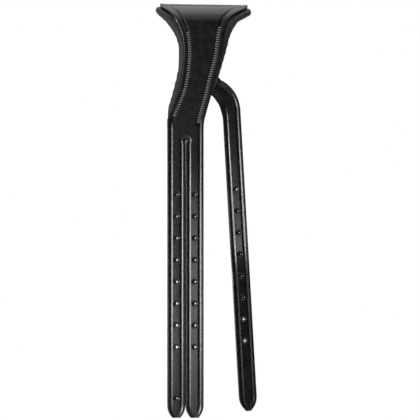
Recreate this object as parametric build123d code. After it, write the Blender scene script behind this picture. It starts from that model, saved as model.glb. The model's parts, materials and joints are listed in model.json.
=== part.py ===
from build123d import *
import os
from math import atan2, cos, degrees, pi, radians, sin, sqrt

os.makedirs("parts", exist_ok=True)

# A padded crown strap: a folded leather crown, lined with a soft pad, that hangs by its fold.
# The near half (towards -Y) runs down into a strap slit into two billets, and the far half
# (towards +Y) sweeps sideways into a single billet.
# Origin: lining under the top of the fold, where the crown bears. Z up, X across the strap.

# Driving dimensions, mm
seat_radius = 7.7          # fold, measured to the lining
leather = 3.3              # bridle leather of crown and billets
pad_thickness = 7.0        # foam with its soft leather lining
lining = 1.2
roll = 2.2                 # corners taken off the pad's edges
layer_gap = 0.2            # glue line between leather and pad
crown_half_length = 144.0  # on the outer face, from the top of the fold to the straight strap
flex_clearance = 0.3       # air round the rounded end of a billet
fold_clearance = 0.6       # air round the thick padded end at the far side of the fold

billet_width = 19.0
slit_width = 0.5
strap_centre_x = -19.05
stop_hole = 4.0            # diameter of the hole that ends the slit
stop_hole_drop = 10.5      # from the start of the straight strap
near_bend_drop = 7.4       # from the stop hole to where the billets bend
front_length = 285.0       # bend to tip
front_tip = 15.0           # length over which the tip narrows
front_tip_width = 8.0

hole = 4.0                 # buckle-tongue holes
hole_pitch = 23.0
hole_count = 8
last_hole_from_tip = 75.0
keeper_hole_from_tip = 21.0

rear_lean = 3.26           # degrees off vertical, in the plane of the strap
rear_length = 317.0
rear_tip = 17.0
rear_tip_width = 4.5
sweep_x, sweep_z = 2.5, -99.0   # centre of the curve that brings the rear strap back to vertical
sweep_radius = 27.0             # of its centre line
rear_straight = 6.0             # straight strap between the curve and the bend

skive_share = 0.4          # thickness left at the foot of the pad
skive_length = 24.0        # over which the pad thins

crease_inset = 4.1         # centre of the edge crease from the strap's edge
crease_width = 3.4
crease_depth = 0.7

stitch_inset = 6.1         # stitched row from the leather's edge
channel_width = 3.2        # groove that the row lies in
channel_depth = 0.5
row_ends = {"left": 0.895, "right": 0.944}   # foot of each near row, as a share of the crown's half length
far_row_foot_z = -48.0     # height at which the far rows end
slit_crease_rise = 16.6    # from the stop hole up to the head of the strap's edge creases

# Outlines: distance along the outer face from the top of the fold, as a share of the crown's half
# length, then the left edge and the right edge
crown_shape = [
    (0, -44.5, 46.5), (0.062, -41.6, 43.2), (0.125, -35.0, 34.0), (0.194, -28.2, 26.2),
    (0.278, -22.8, 21.8), (0.375, -20.7, 19.3), (0.472, -20.5, 17.0), (0.569, -21.7, 13.4),
    (0.667, -24.5, 9.2), (0.764, -29.2, 5.0), (0.847, -33.6, 2.4), (0.931, -37.2, 0.9),
]
pad_shape = [
    (0, -50.9, 50.9), (0.069, -49.8, 50.0), (0.139, -44.8, 43.6), (0.208, -38.2, 35.4),
    (0.292, -30.2, 28.6), (0.382, -26.4, 25.2), (0.472, -26.2, 21.6), (0.569, -27.5, 17.5),
    (0.667, -30.4, 12.8), (0.764, -33.6, 6.6), (0.833, -34.6, 2.6), (0.882, -33.6, -1.2),
]
far_pad_shape = [
    (0.194, -39.5, 36.7), (0.292, -30.2, 28.6), (0.382, -26.4, 24.4), (0.472, -25.2, 20.2),
    (0.556, -23.0, 15.6), (0.625, -18.4, 10.0), (0.667, -12.5, 4.2),
]

# Far leather between the mirrored crown and the sweep, (x, z)
far_waist_right = [(13.8, -50.0), (13.4, -60.0)]
far_waist_left = [(-19.4, -50.0), (-14.5, -67.0), (-5.0, -78.5)]
sweep_head = 64.0          # degrees up the outer curve at which the waist joins it

blank_width = 140.0        # of the sheets that the outlines are cut from
cut_depth = 300.0          # of the cuts that clear everything past a bend

# Derived
crown_outline, pad_outline, far_pad_outline = (
    [(share * crown_half_length, x0, x1) for share, x0, x1 in shape]
    for shape in (crown_shape, pad_shape, far_pad_shape)
)
fold_radius = seat_radius + pad_thickness + layer_gap + leather   # outer face of the leather
fold_z = -seat_radius
quarter = fold_radius * pi / 2                                    # outer face, top of fold to vertical
stop_hole_z = fold_z + quarter - crown_half_length - stop_hole_drop
near_flex_z = stop_hole_z - near_bend_drop               # height at which the front billets bend
strap_width = 2 * billet_width + slit_width
strap_edges = (strap_centre_x - strap_width / 2, strap_centre_x + strap_width / 2)
leather_mid = fold_radius - leather / 2                           # |Y| of the leather's middle
stack_mid = fold_radius - (leather + layer_gap + pad_thickness) / 2
pad_top = leather + layer_gap                                     # depths below the outer face
pad_floor = pad_top + pad_thickness


def on_fold(along, depth):
    """Y and Z at a distance along the outer face, which is negative on the far half."""
    turn = max(-pi / 2, min(pi / 2, along / fold_radius))
    radius = fold_radius - depth
    drop = max(0.0, abs(along) - quarter)
    return -radius * sin(turn), fold_z + radius * cos(turn) - drop


def point(along, x, depth):
    y, z = on_fold(along, depth)
    return Vector(x, y, z)


def along_at(z):
    return quarter + fold_z - z


def mirrored(outline, count):
    """The first stations past the top of the fold, mirrored on to the far half."""
    return [(-s, x0, x1) for s, x0, x1 in reversed(outline[1:count + 1])]


def left(outline):
    return [(s, a) for s, a, _ in outline]


def right(outline):
    return [(s, b) for s, _, b in outline]


def inset(edge, amount):
    """An edge, as (along, x) pairs, moved square to itself by an amount towards +X."""
    moved = []
    for i, (s, x) in enumerate(edge):
        s0, x0 = edge[max(i - 1, 0)]
        s1, x1 = edge[min(i + 1, len(edge) - 1)]
        slope = (x1 - x0) / (s1 - s0)
        moved.append((s, x + amount * sqrt(1 + slope * slope)))
    return moved


def spread(edge):
    first, last = edge[0][0], edge[-1][0]
    return [(s - first) / (last - first) for s, _ in edge]


def beyond(edge, direction, high=(-6.0, 0.0), low=None):
    """Everything past an edge of the pattern, as a solid. The cut is square to the leather, or it slants
    between two (depth, inset) pairs."""
    low = low or (fold_radius - 1.5, 0.0)
    rails = [
        Edge.make_spline([point(s, x - direction * pull, depth) for s, x in edge], parameters=spread(edge))
        for depth, pull in (high, low)
    ]
    return extrude(Face.make_surface_from_curves(*rails), amount=blank_width, dir=(direction, 0, 0))


def wrapped(top, bottom, foot_z):
    """A layer over the fold between two depths, as wide as the blank, down to foot_z on the near side."""
    section_plane = Plane(origin=(0, 0, fold_z), x_dir=(0, 1, 0), z_dir=(1, 0, 0))
    outer, inner = fold_radius - top, fold_radius - bottom
    ring = (Circle(outer) - Circle(inner)) & Rectangle(
        4 * outer, 2 * outer, align=(Align.CENTER, Align.MIN)
    )
    leg = Pos(-outer, 0) * Rectangle(outer - inner, fold_z - foot_z, align=(Align.MIN, Align.MAX))
    return extrude(section_plane * (ring + leg), amount=blank_width / 2, both=True)


def trimmed(layer, left_edge, right_edge):
    return layer - beyond(left_edge, -1) - beyond(right_edge, 1)


def rolled(layer, outline):
    """A pad layer cut to its outline, with both corners of each long edge slanted off into a roll."""
    over, under = pad_top - roll, pad_floor + roll
    for edge, direction in ((left(outline), -1), (right(outline), 1)):
        layer -= beyond(edge, direction)
        layer -= beyond(edge, direction, (over, 2 * roll), (pad_top + 3 * roll, -2 * roll))
        layer -= beyond(edge, direction, (pad_floor - 3 * roll, -2 * roll), (under, 2 * roll))
    return layer


def skived(layer, foot_z, side, floor):
    """A pad layer thinned towards its foot by one slanting cut; side is -1 for the near half."""
    slope = degrees(atan2((1 - skive_share) * pad_thickness, skive_length))
    inward = Align.MIN if side < 0 else Align.MAX
    wedge = Box(blank_width, pad_floor, 3 * skive_length, align=(Align.CENTER, inward, Align.MAX))
    hinge = Pos(0, side * (fold_radius - floor), foot_z + skive_length)
    return layer - hinge * Rot(side * slope, 0, 0) * wedge


def bend_space(centre, radius, lean=0.0, keep="below"):
    """A cylinder across the strap at a bend, with all that lies on one side of it."""
    half = Align.MAX if keep == "below" else Align.MIN
    shape = Rot(0, 90, 0) * Cylinder(radius, blank_width) + Box(
        blank_width, 2 * radius + leather, cut_depth, align=(Align.CENTER, Align.CENTER, half)
    )
    return Pos(*centre) * Rot(0, lean, 0) * shape


def v_groove(start, end, face_y, out):
    """A V-shaped crease on a flat face between two (x, z) points; out is the face's outward Y sign."""
    run = Vector(end[0] - start[0], 0, end[1] - start[1])
    base = Plane(origin=(start[0], face_y, start[1]), x_dir=run.cross(Vector(0, out, 0)), z_dir=run)
    side = 1 if base.y_dir.Y * out > 0 else -1
    half, deep = crease_width / 2, side * crease_depth
    profile = make_face(Polyline((-half, 0), (-half, deep), (half, deep), (half, 0), (0, -deep), close=True))
    return extrude(base * profile, amount=run.length)


def billet(length, tip, tip_width, crease_side, extra_hole=None):
    """A billet with its bend at the origin, hanging down Z with its middle on Y=0."""
    half = billet_width / 2
    shoulder = tip - length
    bulge = (tip_width / 2 + (half - tip_width / 2) * 0.78, shoulder - tip * 0.55)
    outline = make_face([
        Line((-half, 0), (half, 0)), Line((half, 0), (half, shoulder)),
        ThreePointArc((half, shoulder), bulge, (tip_width / 2, -length)),
        Line((tip_width / 2, -length), (-tip_width / 2, -length)),
        ThreePointArc((-tip_width / 2, -length), (-bulge[0], bulge[1]), (-half, shoulder)),
        Line((-half, shoulder), (-half, 0)),
    ])
    strap = extrude(Plane.XZ * outline, amount=leather / 2, both=True)
    strap += Rot(0, 90, 0) * Cylinder(leather / 2, billet_width)
    face_y = crease_side * leather / 2
    line_x = half - crease_inset
    for side in (-1, 1):
        strap -= v_groove((side * line_x, 0), (side * line_x, shoulder), face_y, crease_side)
        strap -= v_groove((side * line_x, shoulder), (side * 1.2, 3 - length), face_y, crease_side)
    heights = [last_hole_from_tip - length + i * hole_pitch for i in range(hole_count)]
    if extra_hole:
        heights.append(extra_hole - length)
    for z in heights:
        strap -= Pos(0, 0, z) * Rot(90, 0, 0) * Cylinder(hole / 2, 4 * leather)
    return strap


def channel(layer, edge):
    """The shallow groove that a row of stitching lies in, cut from a skin-deep layer along an edge."""
    return trimmed(layer, inset(edge, -channel_width / 2), inset(edge, channel_width / 2))


def write(name, shape):
    solids = shape.solids()
    print(f"{name}: {len(solids)} solid(s), {sum(solid.volume for solid in solids) / 1000:.2f} cm3")
    export_step(shape, f"parts/{name}.step")


# Near half and fold, one piece of leather down to the bend of the front billets
strap_foot = along_at(near_flex_z - 4)
strap_outline = mirrored(crown_outline, 4) + crown_outline + [
    (crown_half_length, *strap_edges), (crown_half_length + 4, *strap_edges), (strap_foot, *strap_edges),
]
stitch_lines = {
    "left": inset(left(strap_outline), stitch_inset),
    "right": inset(right(strap_outline), -stitch_inset),
}
row_feet = {side: fold_z + quarter - share * crown_half_length for side, share in row_ends.items()}
far_bend_centre = (0, stack_mid, fold_z)
near_bend_centre = (strap_centre_x, -leather_mid, near_flex_z)
far_bend = bend_space(far_bend_centre, pad_floor / 2 + fold_clearance)

crown_leather = trimmed(wrapped(0, leather, near_flex_z), left(strap_outline), right(strap_outline))
crown_leather -= far_bend
crown_leather -= bend_space(near_bend_centre, leather / 2 + flex_clearance)
for side, line in stitch_lines.items():
    crown_leather -= channel(wrapped(-1.0, channel_depth, row_feet[side]), line)
stop = Pos(strap_centre_x, -leather_mid, stop_hole_z)
crown_leather -= stop * Rot(90, 0, 0) * Cylinder(stop_hole / 2, 3 * leather)
crown_leather -= stop * Box(slit_width, 3 * leather, 20, align=(Align.CENTER, Align.CENTER, Align.MAX))
slit_crease = slit_width / 2 + crease_inset
loop = Torus(slit_crease, crease_depth) & Box(20, 20, 4, align=(Align.CENTER, Align.MIN, Align.CENTER))
crown_leather -= Pos(strap_centre_x, -fold_radius, stop_hole_z) * Rot(90, 0, 0) * loop
for side in (-1, 1):
    outer_x = strap_centre_x + side * (strap_width / 2 - crease_inset)
    inner_x = strap_centre_x + side * slit_crease
    for x, head in ((outer_x, stop_hole_z + slit_crease_rise), (inner_x, stop_hole_z)):
        crown_leather -= v_groove((x, head), (x, near_flex_z), -fold_radius, -1)
write("crown_leather", crown_leather)

# Pad of the near half and fold: foam in a soft leather lining
near_pad = mirrored(pad_outline, 4) + pad_outline
near_pad_foot = fold_z + quarter - pad_outline[-1][0]
foam_edges = [inset(left(near_pad), roll), inset(right(near_pad), -roll)]
near_skin = skived(wrapped(pad_top, pad_floor, near_pad_foot), near_pad_foot, -1, pad_floor)
near_core = wrapped(pad_top + lining, pad_floor - lining, near_pad_foot + 2 * lining)
near_core = skived(near_core, near_pad_foot, -1, pad_floor - lining)
crown_foam = trimmed(near_core, *foam_edges)
crown_lining = rolled(near_skin, near_pad) - crown_foam - far_bend
crown_foam -= far_bend
write("crown_foam", crown_foam)
write("crown_lining", crown_lining)

# Far half: from the bend at the foot of the fold to the bend of the rear billet
lean = radians(rear_lean)
down = (sin(lean), -cos(lean))


def sweep_point(radius, degrees_up):
    a = radians(degrees_up)
    return sweep_x + radius * cos(a), sweep_z + radius * sin(a)


outer_sweep, inner_sweep = sweep_radius + billet_width / 2, sweep_radius - billet_width / 2
sweep_end = sweep_point(sweep_radius, rear_lean)
rear_bend_centre = (
    sweep_end[0] + rear_straight * down[0], leather_mid, sweep_end[1] + rear_straight * down[1]
)


def past(corner, run):
    return corner[0] + run * down[0], corner[1] + run * down[1]


far_edges = mirrored(crown_outline, 5)[:3]
far_right = [(x, fold_z - (-s - quarter)) for s, _, x in reversed(far_edges)]
far_left = [(x, fold_z - (-s - quarter)) for s, x, _ in reversed(far_edges)]
outer_join, inner_join = sweep_point(outer_sweep, sweep_head), sweep_point(inner_sweep, 90)
outer_foot, inner_foot = sweep_point(outer_sweep, rear_lean), sweep_point(inner_sweep, rear_lean)
head_tangent = (sin(radians(sweep_head)), -cos(radians(sweep_head)))
overrun = rear_straight + leather
head_z = fold_z + stack_mid
far_sheet = make_face([
    Line((far_left[0][0], head_z), (far_right[0][0], head_z)),
    Line((far_right[0][0], head_z), far_right[0]),
    Spline(*far_right, *far_waist_right, outer_join, tangents=[(-0.36, -1), head_tangent]),
    ThreePointArc(outer_join, sweep_point(outer_sweep, (sweep_head + rear_lean) / 2), outer_foot),
    Line(outer_foot, past(outer_foot, overrun)),
    Line(past(outer_foot, overrun), past(inner_foot, overrun)),
    Line(past(inner_foot, overrun), inner_foot),
    ThreePointArc(inner_foot, sweep_point(inner_sweep, (90 + rear_lean) / 2), inner_join),
    Spline(inner_join, *reversed(far_waist_left), *reversed(far_left), tangents=[(-1, 0), (-0.46, 1)]),
    Line(far_left[0], (far_left[0][0], head_z)),
])
far_body = bend_space(far_bend_centre, pad_floor / 2)
far_leather = extrude(Plane.XZ * far_sheet, amount=-leather)
far_leather = Pos(0, fold_radius - leather, 0) * far_leather
far_leather &= far_body
waist_along = -along_at(far_waist_left[0][1])
far_rows = [(waist_along, far_waist_left[0][0], far_waist_right[0][0])] + far_edges
far_rows += mirrored(crown_outline, 2)[:1]
far_lines = {"left": inset(left(far_rows), stitch_inset), "right": inset(right(far_rows), -stitch_inset)}
far_face = Pos(0, fold_radius - channel_depth, far_row_foot_z) * Box(
    blank_width, 1 + channel_depth, 100, align=(Align.CENTER, Align.MIN, Align.MIN)
)
for line in far_lines.values():
    far_leather -= channel(far_face, line)
far_leather -= bend_space(rear_bend_centre, leather / 2 + flex_clearance, lean=-rear_lean)
write("far_leather", far_leather)

far_pad = [(-s, x0, x1) for s, x0, x1 in reversed(far_pad_outline)] + mirrored(pad_outline, 2)
far_pad_foot = fold_z + quarter - far_pad_outline[-1][0]
head_room = pad_floor / 2


def far_slab(top, bottom, foot_z):
    return Pos(0, fold_radius - top, foot_z) * Box(
        blank_width, bottom - top, fold_z + head_room - foot_z, align=(Align.CENTER, Align.MAX, Align.MIN)
    )


far_skin = skived(far_slab(pad_top, pad_floor, far_pad_foot), far_pad_foot, 1, pad_floor)
far_core = far_slab(pad_top + lining, pad_floor - lining, far_pad_foot + 2 * lining)
far_core = skived(far_core, far_pad_foot, 1, pad_floor - lining)
far_foam = trimmed(far_core, inset(left(far_pad), roll), inset(right(far_pad), -roll))
far_lining = rolled(far_skin, far_pad) - far_foam
write("far_foam", far_foam & far_body)
write("far_lining", far_lining & far_body)

# Billets, each hung from its bend
front_shift = (billet_width + slit_width) / 2
front_left_billet = billet(front_length, front_tip, front_tip_width, -1, keeper_hole_from_tip)
front_right_billet = billet(front_length, front_tip, front_tip_width, -1)
rear_billet = billet(rear_length, rear_tip, rear_tip_width, -1)
write("front_left_billet", Pos(strap_centre_x - front_shift, -leather_mid, near_flex_z) * front_left_billet)
write("front_right_billet", Pos(strap_centre_x + front_shift, -leather_mid, near_flex_z) * front_right_billet)
write("rear_billet", Pos(*rear_bend_centre) * Rot(0, -rear_lean, 0) * rear_billet)
print("near bend", near_bend_centre, "far bend", far_bend_centre, "rear bend", rear_bend_centre)
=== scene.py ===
import json
import math
import bpy
import numpy as np
from mathutils import Matrix, Vector


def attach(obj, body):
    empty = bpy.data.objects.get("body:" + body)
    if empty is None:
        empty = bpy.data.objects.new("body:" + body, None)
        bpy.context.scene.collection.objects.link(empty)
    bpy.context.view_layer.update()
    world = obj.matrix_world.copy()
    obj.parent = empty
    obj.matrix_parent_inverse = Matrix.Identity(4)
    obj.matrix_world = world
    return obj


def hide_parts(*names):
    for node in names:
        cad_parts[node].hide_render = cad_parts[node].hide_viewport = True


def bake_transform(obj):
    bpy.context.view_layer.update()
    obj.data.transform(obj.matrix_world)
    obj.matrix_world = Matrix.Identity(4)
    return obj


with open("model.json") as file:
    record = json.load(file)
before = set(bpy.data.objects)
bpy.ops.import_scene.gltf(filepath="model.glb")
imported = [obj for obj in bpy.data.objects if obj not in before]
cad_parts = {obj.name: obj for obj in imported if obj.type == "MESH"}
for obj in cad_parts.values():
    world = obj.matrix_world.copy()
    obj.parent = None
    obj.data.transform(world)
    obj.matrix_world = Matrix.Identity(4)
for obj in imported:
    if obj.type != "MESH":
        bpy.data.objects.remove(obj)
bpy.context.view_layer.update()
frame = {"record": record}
scene = bpy.context.scene
mm = 0.001


# Shader maths: a wire is a socket that takes part in sums

class Wire:
    def __init__(self, wiring, socket):
        self.wiring, self.socket = wiring, socket

    def sum(self, operation, *values):
        return self.wiring.node("ShaderNodeMath", dict(enumerate(values)), operation=operation)

    def __add__(self, other): return self.sum("ADD", self, other)
    def __radd__(self, other): return self.sum("ADD", other, self)
    def __mul__(self, other): return self.sum("MULTIPLY", self, other)
    def __rmul__(self, other): return self.sum("MULTIPLY", other, self)

    def largest(self, other):
        return self.sum("MAXIMUM", self, other)

    def ramp(self, low, high):    # an S-curve from 0 at low to 1 at high
        sockets = {"Value": self, "From Min": low, "From Max": high}
        return self.wiring.node("ShaderNodeMapRange", sockets, interpolation_type="SMOOTHSTEP")


class Wiring:
    def __init__(self, owner):
        owner.use_nodes = True
        self.owner, self.tree = owner, owner.node_tree
        self.tree.nodes.clear()

    def node(self, kind, sockets=None, output=0, **settings):
        made = self.tree.nodes.new(kind)
        for name, value in settings.items():
            setattr(made, name, value)
        for name, value in (sockets or {}).items():
            if isinstance(value, Wire):
                self.tree.links.new(value.socket, made.inputs[name])
            else:
                made.inputs[name].default_value = value
        return Wire(self, made.outputs[output]) if made.outputs else None


class Finish(Wiring):
    def __init__(self, name):
        super().__init__(bpy.data.materials.new(name))
        self.place = self.node("ShaderNodeTexCoord", output="Object")

    def noise(self, scale, detail=3.0, rough=0.55, stretch=(1, 1, 1)):
        place = self.node("ShaderNodeMapping", {"Vector": self.place, "Scale": stretch})
        return self.node("ShaderNodeTexNoise", {"Vector": place, "Scale": scale, "Detail": detail, "Roughness": rough})

    def cells(self, scale):
        sockets = {"Vector": self.place, "Scale": scale}
        return self.node("ShaderNodeTexVoronoi", sockets, "Distance", feature="SMOOTH_F1")

    def mix(self, share, first, second):
        sockets = {0: share, 6: first, 7: second}
        return self.node("ShaderNodeMix", sockets, 2, data_type="RGBA")

    def bump(self, height, strength, distance, under=None):
        sockets = {"Height": height, "Strength": strength, "Distance": distance}
        if under:
            sockets["Normal"] = under
        return self.node("ShaderNodeBump", sockets)

    def show(self, shader):
        self.node("ShaderNodeOutputMaterial", {"Surface": shader})
        return self.owner

    def surface(self, **sockets):
        named = {key.replace("_", " "): value for key, value in sockets.items()}
        return self.show(self.node("ShaderNodeBsdfPrincipled", named, "BSDF"))


# Finishes

bridleHide = dict(
    dark=(0.0022, 0.0022, 0.0023, 1), light=(0.0055, 0.0055, 0.0056, 1), scuffed=(0.02, 0.02, 0.0204, 1),
    grain=1500, mottle=160, pull=90, scuffs=420, roughness=0.24, spread=0.07, gloss=0.24, wax=0.27, waxRough=0.15,
)


def makeBridleLeather():
    hide = Finish("waxedBridleLeather")
    grain = hide.cells(bridleHide["grain"])
    pores = hide.noise(bridleHide["grain"] * 1.7, 2)
    mottle = hide.noise(bridleHide["mottle"], 4)
    pull = hide.noise(bridleHide["pull"], 3, stretch=(6, 6, 1))    # faint lines from drawing it through the slicker
    scuffs = hide.noise(bridleHide["scuffs"], 5, 0.7, (1, 1, 0.25)).ramp(0.7, 0.85)
    colour = hide.mix(mottle.ramp(0.35, 0.7), bridleHide["dark"], bridleHide["light"])
    colour = hide.mix(scuffs * 0.35, colour, bridleHide["scuffed"])
    rough = bridleHide["roughness"] + bridleHide["spread"] * mottle.ramp(0.3, 0.7) + pull * 0.05 + scuffs * 0.05
    relief = hide.bump(grain * 0.6 + pores * 0.4, 0.28, 0.00008)
    relief = hide.bump(mottle + pull * 0.5, 0.1, 0.0004, relief)
    return hide.surface(
        Base_Color=colour, Roughness=rough, Normal=relief, Specular_IOR_Level=bridleHide["gloss"],
        Coat_Weight=bridleHide["wax"], Coat_Roughness=bridleHide["waxRough"],
    )


liningHide = dict(
    dark=(0.005, 0.005, 0.0052, 1), light=(0.014, 0.014, 0.0142, 1), grain=1100, wrinkle=260, cloud=70,
    roughness=0.46, spread=0.14, gloss=0.35,
)


def makeLiningLeather():
    hide = Finish("softLiningLeather")
    grain = hide.cells(liningHide["grain"])
    pebble = hide.cells(liningHide["grain"] * 0.4)
    wrinkle = hide.noise(liningHide["wrinkle"], 5, 0.65, (1, 1, 0.5))
    cloud = hide.noise(liningHide["cloud"], 3)
    colour = hide.mix(cloud.ramp(0.3, 0.7), liningHide["dark"], liningHide["light"])
    rough = liningHide["roughness"] + liningHide["spread"] * wrinkle.ramp(0.35, 0.7)
    relief = hide.bump(grain * 0.5 + pebble * 0.5, 0.35, 0.00012)
    relief = hide.bump(wrinkle, 0.4, 0.0005, relief)
    return hide.surface(Base_Color=colour, Roughness=rough, Normal=relief, Specular_IOR_Level=liningHide["gloss"])


linen = dict(
    dark=(0.07, 0.07, 0.07, 1), light=(0.21, 0.21, 0.211, 1), strand=2600,
    roughness=0.22, spread=0.12, gloss=0.6, wax=0.6, waxRough=0.12,
)


def makeThread():
    cord = Finish("waxedLinenThread")
    strand = cord.noise(linen["strand"], 2, 0.5, (1, 1, 0.4))
    colour = cord.mix(strand, linen["dark"], linen["light"])
    relief = cord.bump(strand, 0.5, 0.0001)
    return cord.surface(
        Base_Color=colour, Roughness=linen["roughness"] + strand * linen["spread"], Normal=relief,
        Specular_IOR_Level=linen["gloss"], Coat_Weight=linen["wax"], Coat_Roughness=linen["waxRough"],
    )


leather, liningLeather, thread = makeBridleLeather(), makeLiningLeather(), makeThread()
print("finishes made")

# Common tools

def deselect():
    if bpy.context.object and bpy.context.object.mode != "OBJECT":
        bpy.ops.object.mode_set(mode="OBJECT")
    bpy.ops.object.select_all(action="DESELECT")


def only(piece):
    deselect()
    piece.select_set(True)
    bpy.context.view_layer.objects.active = piece


def places(piece):
    flat = np.empty(len(piece.data.vertices) * 3)
    piece.data.vertices.foreach_get("co", flat)
    return flat.reshape(-1, 3)


def putBack(piece, points):
    piece.data.vertices.foreach_set("co", np.asarray(points).ravel())
    piece.data.update()


def apply(piece, kind, **settings):
    only(piece)
    change = piece.modifiers.new(kind.title(), kind)
    for name, value in settings.items():
        setattr(change, name, value)
    bpy.ops.object.modifier_apply(modifier=change.name)


def duplicate(piece, name):
    twin = piece.copy()
    twin.data = piece.data.copy()
    twin.name = name
    scene.collection.objects.link(twin)
    return twin


def cut(piece, point, normal, keepBelow=True):    # one straight cut, closed; what lies beyond the plane goes
    only(piece)
    bpy.ops.object.mode_set(mode="EDIT")
    bpy.ops.mesh.select_all(action="SELECT")
    bpy.ops.mesh.bisect(
        plane_co=point, plane_no=normal, use_fill=True, clear_outer=keepBelow, clear_inner=not keepBelow
    )
    bpy.ops.object.mode_set(mode="OBJECT")


def joined(pieces):
    deselect()
    for piece in pieces:
        piece.select_set(True)
    bpy.context.view_layer.objects.active = pieces[0]
    if len(pieces) > 1:
        bpy.ops.object.join()
    return pieces[0]


def pick(piece, items, test):    # selects some of a piece's corners or faces and goes on in edit mode
    bpy.ops.object.mode_set(mode="OBJECT")
    corners = items == "vertices"
    scene.tool_settings.mesh_select_mode = (corners, False, not corners)
    for item in (*piece.data.vertices, *piece.data.edges, *piece.data.polygons):
        item.select = False
    for item in getattr(piece.data, items):
        item.select = test(item)
    bpy.ops.object.mode_set(mode="EDIT")


def smooth(piece, degrees=40):
    only(piece)
    bpy.ops.object.shade_smooth_by_angle(angle=math.radians(degrees))


def smoothFlats(piece):    # the wide flat faces keep their own direction up to the edge of each hole
    smooth(piece)
    apply(piece, "WEIGHTED_NORMAL", keep_sharp=True, weight=80)


def dress(piece, finish):
    piece.data.materials.clear()
    piece.data.materials.append(finish)


def ease(values, low, high):    # 0 before low, 1 after high, smooth between
    share = np.clip((values - low) / (high - low), 0, 1)
    return share * share * (3 - 2 * share)


def runAlong(line):    # how far each point lies along its line
    return np.r_[0, np.cumsum(np.linalg.norm(np.diff(line, axis=0), axis=1))]


def splineThrough(points, count):    # evenly spread points on a natural spline through a few
    points = np.array(points, float)
    knots = runAlong(points)
    gaps = np.diff(knots)
    system = np.diag(np.r_[1, 2 * (gaps[:-1] + gaps[1:]), 1])
    for i in range(1, len(knots) - 1):
        system[i, i - 1], system[i, i + 1] = gaps[i - 1], gaps[i]
    rise = np.diff(points, axis=0) / gaps[:, None]
    bend = np.linalg.solve(system, np.vstack([[0, 0], 6 * np.diff(rise, axis=0), [0, 0]]))
    wanted = np.linspace(0, knots[-1], count)
    at = np.clip(np.searchsorted(knots, wanted) - 1, 0, len(gaps) - 1)
    gap, after, before = gaps[at, None], (wanted - knots[at])[:, None], (knots[at + 1] - wanted)[:, None]
    cubes = (bend[at] * before ** 3 + bend[at + 1] * after ** 3) / (6 * gap)
    fromHere = (points[at] / gap - bend[at] * gap / 6) * before
    fromNext = (points[at + 1] / gap - bend[at + 1] * gap / 6) * after
    return cubes + fromHere + fromNext


def evenly(line, count):    # a dense line cut into equal lengths
    run = runAlong(line)
    wanted = np.linspace(0, run[-1], count)
    return np.column_stack([np.interp(wanted, run, line[:, 0]), np.interp(wanted, run, line[:, 1])])


# The fold. Pieces that lie over it are made flat, as they are cut on the bench: X across, Y back over
# the fold, with 0 at its top and the near half below, Z out of the leather's face.

fold = dict(
    radius=18.2 * mm, z=-7.7 * mm, leather=3.3 * mm, padTop=3.5 * mm, padFloor=10.5 * mm,
    seam=15 * mm,       # past the top, where the far pieces begin
    bendFrom=(0, 0, 2 * mm), bendTo=(0, 0, -17 * mm),
)
quarter = fold["radius"] * math.pi / 2


def flatY(z, far=False):    # where a height on either half lies on the flat pattern
    away = quarter + fold["z"] - z
    return away if far else -away


def layOverFold(piece, lift=None):
    points = places(piece)
    along, height = -points[:, 1], points[:, 2].copy()
    turn = np.clip(along / fold["radius"], -math.pi / 2, math.pi / 2)
    radius = fold["radius"] + height
    points[:, 1] = -radius * np.sin(turn)
    points[:, 2] = fold["z"] + radius * np.cos(turn) - np.maximum(np.abs(along) - quarter, 0)
    if lift:    # corners that stand off the pad at the top
        out = np.where(points[:, 0] < 0, lift[0], lift[1]) * mm * (points[:, 0] / (45 * mm)) ** 2
        points[:, 2] += out * np.cos(turn)
    putBack(piece, points)


def layStrip(name, rows, thick, top=0.0):    # a blank of one column, from its rows of two ends
    deselect()
    bpy.ops.mesh.primitive_grid_add(x_subdivisions=1, y_subdivisions=len(rows) - 1, size=1)
    piece = bpy.context.object
    piece.name = name
    for vertex in piece.data.vertices:
        row = round((vertex.co.y + 0.5) * (len(rows) - 1))
        vertex.co = (*rows[row][int(vertex.co.x > 0)], top)
    apply(piece, "SOLIDIFY", thickness=thick, offset=-1)
    return piece


def edgeDistance(points, lines):    # from each point to the nearer of the long edges
    nearest = np.full(len(points), 1.0)
    for line in lines:
        start, run = line[:-1], np.diff(line, axis=0)
        share = ((points[:, None] - start) * run).sum(2) / (run * run).sum(1)
        gap = points[:, None] - (start + np.clip(share, 0, 1)[..., None] * run)
        nearest = np.minimum(nearest, np.sqrt((gap * gap).sum(2)).min(1))
    return nearest


def edgeRound(piece, width):    # rolls the long edges of a blank
    only(piece)
    scene.tool_settings.mesh_select_mode = (False, True, False)
    bpy.ops.object.mode_set(mode="EDIT")
    bpy.ops.mesh.select_all(action="DESELECT")
    bpy.ops.mesh.edges_select_sharp(sharpness=math.radians(60))
    bpy.ops.mesh.bevel(offset=width, segments=3, profile=0.55)
    bpy.ops.object.mode_set(mode="OBJECT")


def insetRings(piece, rings, level, up=True):    # lines on the face, each at its distance from the blank's edge
    only(piece)
    sign = 1 if up else -1
    pick(piece, "polygons", lambda face: face.normal.z * sign > 0.995 and abs(face.center.z - level) < 0.05 * mm)
    done = crown["edge"]
    for ring in rings:
        bpy.ops.mesh.inset(thickness=(ring - done) * mm, depth=0, use_even_offset=True)
        done = ring
    bpy.ops.object.mode_set(mode="OBJECT")


# Crown leather, with the far half down to the end of its sweep

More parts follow.
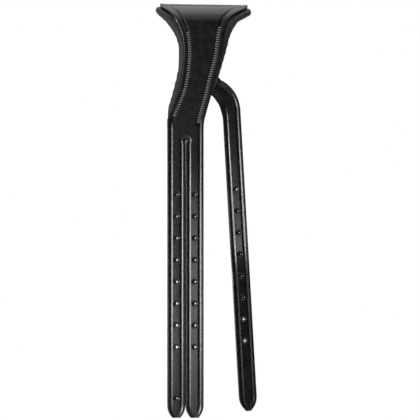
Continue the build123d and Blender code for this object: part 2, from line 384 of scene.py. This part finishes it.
crown = dict(
    halfLength=144, strapMiddle=-19.05, strapWidth=38.5,
    foot=-136, spare=14,            # where it is cut, and the leather cut away beyond
    strapTop=-108,                  # height below which the strap needs fewer rows
    mirroredTo=55,                  # how far down the far side it keeps the near side's outline
    fanStart=-40,                   # height on the far side where its rows start to turn with the sweep
    nearCrease=(-107, -117),        # heights between which the channel gives way to the strap's crease
    farCrease=(-44, -54), backCrease=(-52, -60), channelFade=(6, 24),
    outline=[   # share of the half length, left edge, right edge
        (0, -46.0, 46.8), (0.04, -45.8, 46.6), (0.075, -43.8, 44.4), (0.1, -40.2, 40.2), (0.125, -36.2, 35.2),
        (0.16, -31.6, 29.4), (0.203, -27.6, 25.0), (0.285, -22.8, 21.7), (0.36, -21.1, 20.1), (0.43, -20.6, 18.9),
        (0.5, -21.1, 16.9), (0.6, -23.0, 12.9), (0.694, -25.9, 9.6), (0.764, -29.6, 7.2), (0.823, -33.2, 4.7),
        (0.883, -36.9, 2.4), (0.905, -38.0, 1.5), (0.931, -38.4, 0.8),
    ],
    waistRight=[(13.8, -50.0), (13.4, -60.0)], waistLeft=[(-19.4, -50.0), (-14.5, -67.0), (-5.0, -78.5)],
    edge=0.7, lift=(2.0, 0.4),
    rings=[0.9, 1.6, 2.0, 2.4, 3.0, 3.6, 4.1, 4.7, 5.3, 5.9, 6.5, 7.2, 7.7, 8.2, 8.35],
    # height of the face at each distance from the edge: first with the sewn channel, then with the strap's crease
    channel=[(0, -0.3), (0.7, -0.04), (0.9, -0.02), (1.6, -0.01), (2.0, -0.1), (2.4, -0.01), (3.0, 0), (3.6, -0.08),
             (4.1, -0.55), (4.7, -0.95), (7.2, -0.95), (7.7, -0.4), (8.2, -0.03), (8.35, 0)],
    crease=[(0, -0.3), (0.7, -0.04), (0.9, -0.02), (1.6, 0), (2.4, -0.07), (3.0, -0.27), (3.6, -0.47), (4.1, -0.54),
            (4.7, -0.46), (5.3, -0.25), (5.9, -0.06), (6.5, 0)],
)
sweep = dict(x=2.5, z=-99.0, sag=2.2, radius=27.0, width=19.0, lean=3.26, head=64.0, inside=2.3, insideFrom=(15, 50))
innerRadius, outerRadius = sweep["radius"] - sweep["width"] / 2, sweep["radius"] + sweep["width"] / 2
lean = math.radians(sweep["lean"])
down = np.array([math.sin(lean), -math.cos(lean)])


def sweepPoint(radius, degreesUp):
    turn = math.radians(degreesUp)
    return np.array([sweep["x"] + radius * math.cos(turn), sweep["z"] - sweep["sag"] + radius * math.sin(turn)])


def onPattern(point):    # a far point given as x and height, mm
    return (point[0] * mm, flatY(point[1] * mm, far=True))


def crownEdges():
    stations = [(share * crown["halfLength"], x0, x1) for share, x0, x1 in crown["outline"]]
    strapEdges = [crown["strapMiddle"] + side * crown["strapWidth"] / 2 for side in (-1, 1)]
    joins = [sweepPoint(innerRadius, 90), sweepPoint(outerRadius, sweep["head"])]
    lines = []
    for side in (0, 1):
        waist = crown["waistRight" if side else "waistLeft"]
        line = [(strapEdges[side] * mm, -run * mm) for run in (180, 165, crown["halfLength"] + 6, crown["halfLength"])]
        line += [(row[1 + side] * mm, -row[0] * mm) for row in reversed(stations)]
        line += [(row[1 + side] * mm, row[0] * mm) for row in stations[1:] if row[0] < crown["mirroredTo"]]
        line += [onPattern(point) for point in [*waist, joins[side]]]
        lines.append(splineThrough(line, 900))
    return lines


def makeCrownLeather():
    leftEdge, rightEdge = crownEdges()
    foot, strapTop = flatY(crown["foot"] * mm) - crown["spare"] * mm, flatY(crown["strapTop"] * mm)
    fanStart = flatY(crown["fanStart"] * mm, far=True)
    stops = np.r_[np.linspace(foot, strapTop, 18)[:-1], np.linspace(strapTop, -quarter, 40)[:-1],
                  np.linspace(-quarter, quarter, 37)[:-1], np.linspace(quarter, fanStart, 10)[:-1]]
    rows = [((np.interp(y, leftEdge[:, 1], leftEdge[:, 0]), y), (np.interp(y, rightEdge[:, 1], rightEdge[:, 0]), y))
            for y in stops]
    fan = [evenly(line[line[:, 1] > fanStart], 16) for line in (leftEdge, rightEdge)]
    rows += [(tuple(a), tuple(b)) for a, b in zip(*fan)]
    for share in np.linspace(0, 1, 18)[1:]:
        turned = share * (90 - sweep["lean"])    # the bend is cut fuller on its inside
        ends = (sweepPoint(innerRadius - sweep["inside"] * ease(turned, *sweep["insideFrom"]), 90 - turned),
                sweepPoint(outerRadius, sweep["head"] + share * (sweep["lean"] - sweep["head"])))
        rows.append(tuple(onPattern(end) for end in ends))
    for run in (4, 9, 14):
        rows.append(tuple(onPattern(end + run * down) for end in ends))
    sheet = layStrip("crownLeather", rows, fold["leather"])
    edgeRound(sheet, crown["edge"] * mm)
    lines = [np.array([row[side] for row in rows]) for side in (0, 1)]
    insetRings(sheet, crown["rings"], 0)
    insetRings(sheet, crown["rings"][:11], -fold["leather"], up=False)    # the back has the crease alone
    points = places(sheet)
    away = edgeDistance(points[:, :2], lines) / mm
    channel, crease = (np.interp(away, *zip(*crown[name])) * mm for name in ("channel", "crease"))
    nearStart, nearEnd = (-flatY(z * mm) for z in crown["nearCrease"])
    farStart, farEnd = (flatY(z * mm, True) for z in crown["farCrease"])
    strapShare = np.maximum(ease(-points[:, 1], nearStart, nearEnd), ease(points[:, 1], farStart, farEnd))
    fadeFrom, fadeTo = (run * mm for run in crown["channelFade"])
    channel *= 0.2 + 0.8 * ease(np.abs(points[:, 1]), fadeFrom, fadeTo)    # it runs out over the top
    face = channel + (crease - channel) * strapShare
    onFace = points[:, 2] > -0.1 * mm
    points[onFace, 2] += face[onFace]
    back = crease * ease(points[:, 1], *(flatY(z * mm, True) for z in crown["backCrease"]))
    onBack = points[:, 2] < -fold["leather"] + 0.1 * mm
    points[onBack, 2] -= back[onBack]
    putBack(sheet, points)
    return sheet, lines


wholeLeather, leatherLines = makeCrownLeather()
crownLeather = duplicate(wholeLeather, "crownLeather")
farLeather = duplicate(wholeLeather, "farLeather")
bpy.data.objects.remove(wholeLeather)
cut(crownLeather, (0, fold["seam"], 0), (0, 1, 0))
cut(crownLeather, (0, flatY(crown["foot"] * mm), 0), (0, 1, 0), keepBelow=False)
cut(farLeather, (0, fold["seam"], 0), (0, 1, 0), keepBelow=False)
sweepEnd = onPattern(sweepPoint(sweep["radius"], sweep["lean"]) - sweep["sag"] * down)
cut(farLeather, (*sweepEnd, 0), (math.sin(lean), math.cos(lean), 0))

# The stop hole, the slit below it and the crease that loops round them

billetCut = dict(
    half=9.62, rings=[0.9, 1.6, 2.4, 3.0, 3.6, 4.1, 4.7, 5.3, 5.9, 6.5], creaseAt=4.1,
    pitch=23, count=8, lastHole=75, lowBack=0.4, endRound=0.8, bendRun=7, bendRow=1.3, spare=9,
    tipRows=[0, 0.1, 0.2, 0.3, 0.4, 0.5, 0.58, 0.66, 0.73, 0.8, 0.86, 0.91], endRows=[0.8, 0.5, 0.25, 0.1, -12],
    tipCurve=2.5, heelRun=(-8, 6),
)
punched = dict(
    mouth=[(1.9, -1.0), (2.0, -0.75), (2.3, -0.5), (2.65, -0.32), (3.0, -0.17), (3.4, -0.05), (3.7, 0.03), (3.8, 1.0)],
    slant=(0.7, -0.2, 0), sides=28, behind=0.7,
)
slit = dict(z=-133.4, width=0.06, length=16, crease=4.5, stopHole=0.3)
middle, holeY = crown["strapMiddle"] * mm, flatY(slit["z"] * mm)


def cutAway(piece, cutter):
    apply(piece, "BOOLEAN", operation="DIFFERENCE", object=cutter, solver="EXACT")
    bpy.data.objects.remove(cutter)


def makeLoopCutter():    # the crease's own profile, spun round the hole and drawn down both sides of the slit
    deselect()
    bpy.ops.mesh.primitive_plane_add(size=1)
    cutter = bpy.context.object
    bpy.ops.object.mode_set(mode="EDIT")
    bpy.ops.mesh.select_all(action="SELECT")
    bpy.ops.mesh.delete(type="VERT")
    bpy.ops.object.mode_set(mode="OBJECT")
    shape = [(away - billetCut["creaseAt"], height) for away, height in crown["crease"] if away > 2]
    shape += [(shape[-1][0], 1.0), (shape[0][0], 1.0)]
    ring = [((slit["crease"] + x) * mm + middle, holeY, z * mm) for x, z in shape]
    cutter.data.from_pydata(ring, [(i, (i + 1) % len(ring)) for i in range(len(ring))], [])
    only(cutter)
    bpy.ops.object.mode_set(mode="EDIT")
    bpy.ops.mesh.select_all(action="SELECT")
    bpy.ops.mesh.edge_face_add()
    bpy.ops.mesh.extrude_region_move(TRANSFORM_OT_translate={"value": (0, -12 * mm, 0)})
    bpy.ops.object.mode_set(mode="OBJECT")
    pick(cutter, "polygons", lambda face: abs(face.normal.y) > 0.9 and abs(face.center.y - holeY) < 0.1 * mm)
    bpy.ops.mesh.spin(steps=20, angle=-math.pi, center=(middle, holeY, 0), axis=(0, 0, 1))
    bpy.ops.mesh.extrude_region_move(TRANSFORM_OT_translate={"value": (0, -12 * mm, 0)})
    bpy.ops.mesh.select_all(action="SELECT")
    bpy.ops.mesh.remove_doubles(threshold=0.00001)
    bpy.ops.mesh.normals_make_consistent(inside=False)
    bpy.ops.object.mode_set(mode="OBJECT")
    return cutter


def makePunch(holes):    # punches with a soft mouth, joined; a hole no tongue has used closes up behind
    punches = []
    for x, y, back in holes:
        deselect()
        behind = -fold["leather"] - punched["behind"] * mm
        bpy.ops.mesh.primitive_cylinder_add(
            vertices=punched["sides"], radius=back * mm, depth=1 * mm, location=(x, y, behind)
        )
        punch = bpy.context.object
        bpy.ops.object.transform_apply(location=True, rotation=False, scale=False)
        pick(punch, "polygons", lambda face: face.normal.z > 0.9)
        reach, level = back, behind / mm + 0.5
        for radius, height in punched["mouth"]:
            bpy.ops.mesh.extrude_region_move(TRANSFORM_OT_translate={"value": (0, 0, (height - level) * mm)})
            bpy.ops.transform.resize(value=(radius / reach, radius / reach, 1), center_override=(x, y, 0))
            reach, level = radius, height
        bpy.ops.object.mode_set(mode="OBJECT")
        for vertex in punch.data.vertices:
            if vertex.co.z < -fold["leather"]:
                vertex.co += Vector(punched["slant"]) * mm
        punches.append(punch)
    return joined(punches)


cutAway(crownLeather, makeLoopCutter())
cutAway(crownLeather, makePunch([(middle, holeY, slit["stopHole"])]))
deselect()
bpy.ops.mesh.primitive_cube_add(
    size=1, location=(middle, holeY - slit["length"] / 2 * mm, -fold["leather"] / 2),
    scale=(slit["width"] * mm, slit["length"] * mm, 6 * mm),
)
bpy.ops.object.transform_apply(location=True, rotation=False, scale=True)
cutAway(crownLeather, bpy.context.object)
for sheet in (crownLeather, farLeather):
    layOverFold(sheet, crown["lift"])
    smoothFlats(sheet)
    dress(sheet, leather)
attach(crownLeather, "crown")
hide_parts("crown_leather")
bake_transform(farLeather)
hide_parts("far_leather")
print("crown leather laid over the fold")

# Billets: each is cut and creased flat with its bend at Y=0, punched, then hung from the bend

billets = dict(
    frontLeftBillet=dict(joint="front_left_bend", node="front_left_billet", above=5.0115, length=285, tip=15,
                         tipHalf=4.0, lean=0.0, lowHole=21, shift=0.12, openTo=(1.05, 0.3),
                         turn=[(0, 0), (110, 0), (180, 1.0), (285, 0.5)]),
    frontRightBillet=dict(joint="front_right_bend", node="front_right_billet", above=5.0115, length=285, tip=15,
                          tipHalf=4.0, lean=0.0, lowHole=None, shift=-0.12, openTo=(0.75, 0.3),
                          turn=[(0, 0), (70, 3), (110, 3.2), (190, 3.2), (285, 2)]),
    rearBillet=dict(joint="rear_bend", node="rear_billet", above=6.0, length=317, tip=17, tipHalf=2.25, lean=lean,
                    lowHole=None, shift=0.0, heel=2.3, openTo=(0.8, 0.75, 0.1, 0.1, 0.1, 0.2, 0.25, 0.55),
                    turn=[(0, 0), (70, 3), (130, 5.5), (190, -9), (317, -12)]),
)
hinges = {joint["name"]: joint for joint in frame["record"]["behaviour"]["joints"]}


def easedStops(stops, wanted):    # eases from one stop to the next
    runs, values = np.array(stops, float).T
    at = np.clip(np.searchsorted(runs, wanted) - 1, 0, len(runs) - 2)
    return values[at] + (values[at + 1] - values[at]) * ease(wanted, runs[at], runs[at + 1])


def billetRows(cutSizes, shoulder):    # close together at the bend and the tip, wide apart between
    bend = np.arange(cutSizes["above"], -11, -billetCut["bendRow"])
    tipRows = shoulder + cutSizes["tip"] * np.array(billetCut["tipRows"])
    ends = cutSizes["length"] - np.array(billetCut["endRows"])
    body = np.linspace(-20, -shoulder + 8, 24)
    return np.r_[cutSizes["above"] + billetCut["spare"], bend, body, -tipRows, -ends][::-1]


def billetHoles(cutSizes):
    length, count = cutSizes["length"], billetCut["count"]
    known = np.linspace(0, count - 1, len(cutSizes["openTo"]))
    backs = np.interp(range(count), known, cutSizes["openTo"])
    holes = [(0, (billetCut["lastHole"] - length + i * billetCut["pitch"]) * mm, back) for i, back in enumerate(backs)]
    if cutSizes["lowHole"]:
        holes.append((0, (cutSizes["lowHole"] - length) * mm, billetCut["lowBack"]))
    return holes


def makeBillet(name, cutSizes):
    half, length, shoulder = billetCut["half"], cutSizes["length"], cutSizes["length"] - cutSizes["tip"]
    stops = billetRows(cutSizes, shoulder)
    strap = layStrip(name, [((-half * mm, y * mm), (half * mm, y * mm)) for y in stops], fold["leather"])
    edgeRound(strap, crown["edge"] * mm)
    insetRings(strap, billetCut["rings"], 0)
    points = places(strap)
    across, run = np.abs(points[:, 0]) / mm, -points[:, 1] / mm
    onFace = points[:, 2] > -0.1 * mm
    points[onFace, 2] += np.interp(half - across, *zip(*crown["crease"]))[onFace] * mm
    intoTip = np.clip((run - shoulder) / cutSizes["tip"], 0, 1)
    narrow = cutSizes["tipHalf"] + (half - cutSizes["tipHalf"]) * (1 - intoTip ** billetCut["tipCurve"])
    creaseX, creaseIn = half - billetCut["creaseAt"], np.maximum(narrow - billetCut["creaseAt"], 0.6)
    band = creaseIn + (across - creaseX) / (half - creaseX) * (narrow - creaseIn)
    points[:, 0] = np.sign(points[:, 0]) * np.where(across > creaseX, band, across * creaseIn / creaseX) * mm
    if "heel" in cutSizes:    # the inside of the sweep runs out into the strap
        heel = cutSizes["heel"] * (1 - ease(run, *billetCut["heelRun"])) * mm
        points[:, 0] -= heel * ease(-points[:, 0], 0, half * mm)
    near = np.clip((billetCut["endRound"] - (length - run)) / billetCut["endRound"], 0, 1)
    middleZ = -fold["leather"] / 2
    points[:, 2] = middleZ + (points[:, 2] - middleZ) * np.sqrt(1 - 0.8 * near ** 2)
    putBack(strap, points)
    cut(strap, (0, cutSizes["above"] * mm, 0), (0, 1, 0))
    cut(strap, (0, -length * mm, 0), (0, 1, 0), keepBelow=False)
    cutAway(strap, makePunch(billetHoles(cutSizes)))
    points = places(strap)    # no strap hangs quite flat
    turn = np.radians(easedStops(cutSizes["turn"], -points[:, 1] / mm))
    x, z = points[:, 0].copy(), points[:, 2] - middleZ
    points[:, 0] = x * np.cos(turn) - z * np.sin(turn)
    points[:, 2] = middleZ + x * np.sin(turn) + z * np.cos(turn)
    putBack(strap, points)
    hinge = hinges[cutSizes["joint"]]
    place = Vector(hinge["pos_m"]) + Vector((cutSizes["shift"] * mm, -fold["leather"] / 2, 0))
    hang = Matrix.Translation(place) @ Matrix.Rotation(-cutSizes["lean"], 4, "Y") @ Matrix.Rotation(math.pi / 2, 4, "X")
    strap.data.transform(hang)
    smoothFlats(strap)
    dress(strap, leather)
    along = Vector((math.sin(cutSizes["lean"]), 0, -math.cos(cutSizes["lean"])))
    bendAt = Vector(hinge["pos_m"])
    bendFrom, bendTo = bendAt - along * cutSizes["above"] * mm, bendAt + along * billetCut["bendRun"] * mm
    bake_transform(strap)
    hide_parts(cutSizes["node"])
    return strap


for name, cutSizes in billets.items():
    makeBillet(name, cutSizes)
print("billets hung")

# Pad: foam in soft leather, made as one flat cushion, blown up a little and split behind the fold

pad = dict(
    outline=[   # share of the crown's half length, left edge, right edge
        (0, -50.9, 50.9), (0.069, -49.8, 50.0), (0.139, -44.8, 43.6), (0.208, -38.2, 35.4),
        (0.292, -30.2, 28.6), (0.382, -26.4, 25.2), (0.472, -26.2, 21.6), (0.569, -27.5, 17.5),
        (0.667, -30.8, 12.8), (0.764, -34.6, 6.6), (0.801, -36.2, 4.6), (0.833, -37.3, 2.6), (0.867, -38.0, 0.6),
        (0.9, -38.0, -1.0), (0.935, -36.8, -1.4),
    ],
    farOutline=[
        (0.194, -39.5, 36.7), (0.292, -30.2, 28.6), (0.382, -26.4, 24.4), (0.472, -25.2, 20.2),
        (0.556, -23.0, 15.6), (0.625, -18.4, 10.0), (0.667, -12.5, 4.2),
    ],
    slack=1.1,              # how much smaller it is cut than it ends up
    top=-4.7, thick=4.7, voxel=2.2, swellSide=1.7, swellFace=1.1, sewn=1.4, sewnAt=6.0, lift=(1.8, 0.0),
    filling=2, pushed=0.7,  # filling pushes the faces out, and this share of it adds to the blown shape
    under=-3.65, welt=1.5,  # highest level under the leather, and how much higher outside its edge
    skiveLength=24, skiveShare=0.4,
)


def offsetLine(line, amount):    # a line moved to its own right by an amount
    run = np.gradient(line, axis=0)
    run /= np.linalg.norm(run, axis=1)[:, None]
    return line + np.column_stack([run[:, 1], -run[:, 0]]) * amount


# both edges run from the foot up over the fold, so the pad lies to the right of the left edge
sewnLines = dict(
    left=offsetLine(leatherLines[0], pad["sewnAt"] * mm), right=offsetLine(leatherLines[1], -pad["sewnAt"] * mm)
)


def padRows():
    total = crown["halfLength"]
    lines = []
    for side in (0, 1):
        line = [(row[1 + side], -row[0] * total) for row in reversed(pad["outline"])]
        line += [(row[1 + side], row[0] * total) for row in pad["outline"][1:3]]
        line += [(row[1 + side], row[0] * total) for row in pad["farOutline"]]
        line = splineThrough(line, 700)
        lines.append(offsetLine(line, pad["slack"] * (1 - 2 * side)) * mm)
    stops = np.linspace(lines[0][0, 1] + pad["slack"] * mm, lines[0][-1, 1] - pad["slack"] * mm, 90)
    return [tuple((np.interp(y, line[:, 1], line[:, 0]), y) for line in lines) for y in stops]


def blown(cushion, toSewn):    # where each point goes when the cushion is blown up, held along its sewn lines
    sewn = cushion.vertex_groups.new(name="sewn")
    sewn.add([int(i) for i in np.where(toSewn < pad["sewn"])[0]], 1.0, "REPLACE")
    only(cushion)
    blow = cushion.modifiers.new("Blow", "CLOTH")
    blow.settings.quality = 6
    blow.settings.mass = 0.3
    blow.settings.use_pressure = True
    blow.settings.uniform_pressure_force = 4
    blow.settings.vertex_group_mass = "sewn"
    blow.settings.effector_weights.gravity = 0
    for number in range(1, 21):
        scene.frame_set(number)
    shown = cushion.evaluated_get(bpy.context.evaluated_depsgraph_get())
    swollen = np.array([tuple(vertex.co) for vertex in shown.data.vertices])
    cushion.modifiers.remove(blow)
    scene.frame_set(1)
    return swollen


def makePad():
    rows = padRows()
    cushion = layStrip("pad", rows, pad["thick"] * mm, pad["top"] * mm)
    apply(cushion, "REMESH", mode="VOXEL", voxel_size=pad["voxel"] * mm)
    start = places(cushion)
    edges = [np.array([row[side] for row in rows]) for side in (0, 1)]
    toSewn = edgeDistance(start[:, :2], list(sewnLines.values())) / mm
    normals = np.array([tuple(vertex.normal) for vertex in cushion.data.vertices])
    filling = normals * (pad["filling"] * mm * ease(toSewn, 0, 3))[:, None]
    move = blown(cushion, toSewn) - start + pad["pushed"] * filling
    toEdge = edgeDistance(start[:, :2], edges) / mm
    most = (pad["swellFace"] + (pad["swellSide"] - pad["swellFace"]) * (1 - ease(toEdge, 1, 6))) * mm
    size = np.linalg.norm(move, axis=1) + 1e-9
    points = start + move * np.minimum(1, most / size)[:, None]
    putBack(cushion, points)
    apply(cushion, "SUBSURF", levels=1, render_levels=1)
    points = places(cushion)
    outside = edgeDistance(points[:, :2], leatherLines) / mm
    leftX, rightX = (np.interp(points[:, 1], line[:, 1], line[:, 0]) for line in leatherLines)
    covered = (points[:, 0] > leftX) & (points[:, 0] < rightX)
    ceiling = np.where(covered, pad["under"], pad["under"] + pad["welt"] * ease(outside, 0, 3)) * mm
    points[:, 2] = np.clip(points[:, 2], -fold["padFloor"] - 0.5 * mm, ceiling)
    for foot, sign in ((rows[0][0][1], 1), (rows[-1][0][1], -1)):    # both feet are pared thin
        fullness = ease((points[:, 1] - foot) * sign, 0, pad["skiveLength"] * mm)
        share = pad["skiveShare"] + (1 - pad["skiveShare"]) * fullness
        points[:, 2] = -fold["padTop"] + (points[:, 2] + fold["padTop"]) * share
    putBack(cushion, points)
    return cushion


wholePad = makePad()
nearPad, farPad = duplicate(wholePad, "nearPad"), duplicate(wholePad, "farPad")
bpy.data.objects.remove(wholePad)
cut(nearPad, (0, fold["seam"], 0), (0, 1, 0))
cut(farPad, (0, fold["seam"], 0), (0, 1, 0), keepBelow=False)
for cushion in (nearPad, farPad):
    layOverFold(cushion, pad["lift"])
    smooth(cushion, 60)
    dress(cushion, liningLeather)
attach(nearPad, "crown")
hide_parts("crown_foam", "crown_lining")
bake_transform(farPad)
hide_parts("far_foam", "far_lining")
print("pad filled")

# Stitching: one stitch, copied along each row

stitch = dict(
    pitch=2.5, across=3.2, along=1.0, high=1.15, rounded=0.42, slant=12, level=-0.5,
    near=dict(left=(-108, -17), right=(-115, -12)), far=(-19, -48),    # heights where each row starts and ends
)


def makeStitch():
    deselect()
    bpy.ops.mesh.primitive_cube_add(size=1, scale=(stitch["across"] * mm, stitch["along"] * mm, stitch["high"] * mm))
    knot = bpy.context.object
    bpy.ops.object.transform_apply(location=False, rotation=False, scale=True)
    bpy.ops.object.mode_set(mode="EDIT")
    bpy.ops.mesh.select_all(action="SELECT")
    bpy.ops.mesh.bevel(offset=stitch["rounded"] * mm, segments=3, affect="EDGES")
    bpy.ops.object.mode_set(mode="OBJECT")
    return knot


def sewRow(name, line, ends, body, model):
    run, far = runAlong(line), body == "far_half"
    low, high = (flatY(z * mm, far) for z in ends)
    spots = np.arange(stitch["pitch"] / 2, run[-1] / mm, stitch["pitch"]) * mm
    copies = []
    for spot in spots:
        x, y = np.interp(spot, run, line[:, 0]), np.interp(spot, run, line[:, 1])
        if not low < y < high:
            continue
        ahead = np.array([np.interp(spot + mm, run, line[:, 0]) - x, np.interp(spot + mm, run, line[:, 1]) - y])
        turn = math.atan2(ahead[1], ahead[0]) - math.pi / 2 + math.radians(stitch["slant"])
        one = duplicate(model, name)
        one.data.transform(Matrix.Translation((x, y, stitch["level"] * mm)) @ Matrix.Rotation(turn, 4, "Z"))
        copies.append(one)
    row = joined(copies)
    row.name = name
    layOverFold(row, crown["lift"])
    smooth(row, 60)
    dress(row, thread)
    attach(row, body)


model = makeStitch()
for side, line in sewnLines.items():
    name = side.title()
    sewRow(f"nearStitches{name}", line, stitch["near"][side], "crown", model)
    sewRow(f"farStitches{name}", line, stitch["far"], "far_half", model)
bpy.data.objects.remove(model)
print("rows sewn")

# Studio: a pale floor well under the tips, a white surround, soft lamps and the camera

studio = dict(
    floorZ=-0.62, floorSize=24.0, pale=(0.86, 0.86, 0.86, 1), fade=(0.35, 0.95), fill=0.62,
    distance=6.0, frameWidth=443.4 * mm, aim=(6.9 * mm, -206.4 * mm),
)
white = (1, 1, 1, 1)


def makeFloor():
    pale = Finish("paleFloor")
    away = pale.node("ShaderNodeVectorMath", {0: pale.place}, "Value", operation="LENGTH")
    shadow = pale.node("ShaderNodeBsdfDiffuse", {"Color": studio["pale"]}, "BSDF")
    plain = pale.node("ShaderNodeEmission", {"Color": white, "Strength": 1.0}, "Emission")
    seen = pale.node("ShaderNodeMixShader", {0: away.ramp(*studio["fade"]), 1: shadow, 2: plain}, "Shader")
    deselect()
    bpy.ops.mesh.primitive_plane_add(size=studio["floorSize"], location=(0, 0, studio["floorZ"]))
    floor = bpy.context.object
    floor.name = "floor"
    bpy.ops.object.transform_apply(location=True, rotation=False, scale=False)
    floor.data.materials.append(pale.show(seen))


def makeSurround():
    scene.world = bpy.data.worlds.new("studio")
    surround = Wiring(scene.world)
    direct, glossy, through = (
        surround.node("ShaderNodeLightPath", output=f"Is {kind} Ray") for kind in ("Camera", "Glossy", "Transmission")
    )
    seen = direct.largest(glossy).largest(through)
    fill = surround.node("ShaderNodeBackground", {"Color": white, "Strength": studio["fill"]})
    plain = surround.node("ShaderNodeBackground", {"Color": white, "Strength": 1.0})
    mixed = surround.node("ShaderNodeMixShader", {0: seen, 1: fill, 2: plain})
    surround.node("ShaderNodeOutputWorld", {"Surface": mixed})


card = dict(y=-1.7, left=1.2, right=1.3, side=2.7, splay=0.2, low=-2.2, top=0.45, felt=(0.02, 0.02, 0.02, 1))


def makeCard():    # dark card before the object and on its right keeps the black leather black; no camera sees it
    dark = Finish("darkCard")
    path = dark.node("ShaderNodeLightPath", output="Is Camera Ray")
    felt = dark.node("ShaderNodeBsdfDiffuse", {"Color": card["felt"]}, "BSDF")
    clear = dark.node("ShaderNodeBsdfTransparent", output="BSDF")
    both = dark.node("ShaderNodeMixShader", {0: path, 1: felt, 2: clear}, "Shader")
    deselect()
    bpy.ops.mesh.primitive_plane_add(size=2, location=(0, card["y"], 0), rotation=(math.pi / 2, 0, 0))
    bpy.ops.object.transform_apply(location=True, rotation=True, scale=True)
    panel = bpy.context.object
    for vertex in panel.data.vertices:
        vertex.co.x = card["right"] if vertex.co.x > 0 else -card["left"]
        vertex.co.z = card["top"] if vertex.co.z > 0 else card["low"]
    pick(panel, "vertices", lambda vertex: vertex.co.x > 0)
    bpy.ops.mesh.select_mode(type="EDGE")
    bpy.ops.mesh.extrude_region_move(TRANSFORM_OT_translate={"value": (card["splay"], card["side"], 0)})
    bpy.ops.object.mode_set(mode="OBJECT")
    panel.name = "card"
    panel.data.materials.append(dark.show(both))


lamps = dict(   # place, what it points at, size across and down, power
    overhead=((0.0, -0.05, 0.9), (0, 0, 0), (1.1, 1.1), 10.5),
    front=((0.0, -0.85, 0.8), (0, 0, 0), (1.1, 0.5), 1.1),
    left=((-0.86, -1.23, -0.27), (0, 0, -0.27), (0.24, 0.27), 10),
    low=((-0.17, -1.5, -0.33), (0, 0, -0.33), (0.16, 0.24), 1.15),
)


def makeLamps():
    for name, (place, target, size, power) in lamps.items():
        lamp = bpy.data.lights.new(name, "AREA")
        lamp.shape, lamp.size, lamp.size_y, lamp.energy = "RECTANGLE", *size, power
        holder = bpy.data.objects.new(name, lamp)
        holder.location = place
        holder.rotation_euler = (Vector(target) - Vector(place)).to_track_quat("-Z", "Y").to_euler()
        scene.collection.objects.link(holder)


def makeCamera():
    lens = bpy.data.cameras.new("camera")
    lens.sensor_width = 36
    lens.lens = 36 * studio["distance"] / studio["frameWidth"]
    camera = bpy.data.objects.new("camera", lens)
    camera.location = (studio["aim"][0], -fold["radius"] - studio["distance"], studio["aim"][1])
    camera.rotation_euler = (math.radians(90), 0, 0)
    scene.collection.objects.link(camera)
    scene.camera = camera


makeFloor()
makeSurround()
makeCard()
makeLamps()
makeCamera()
scene.view_settings.view_transform = "Standard"
print("studio lit")
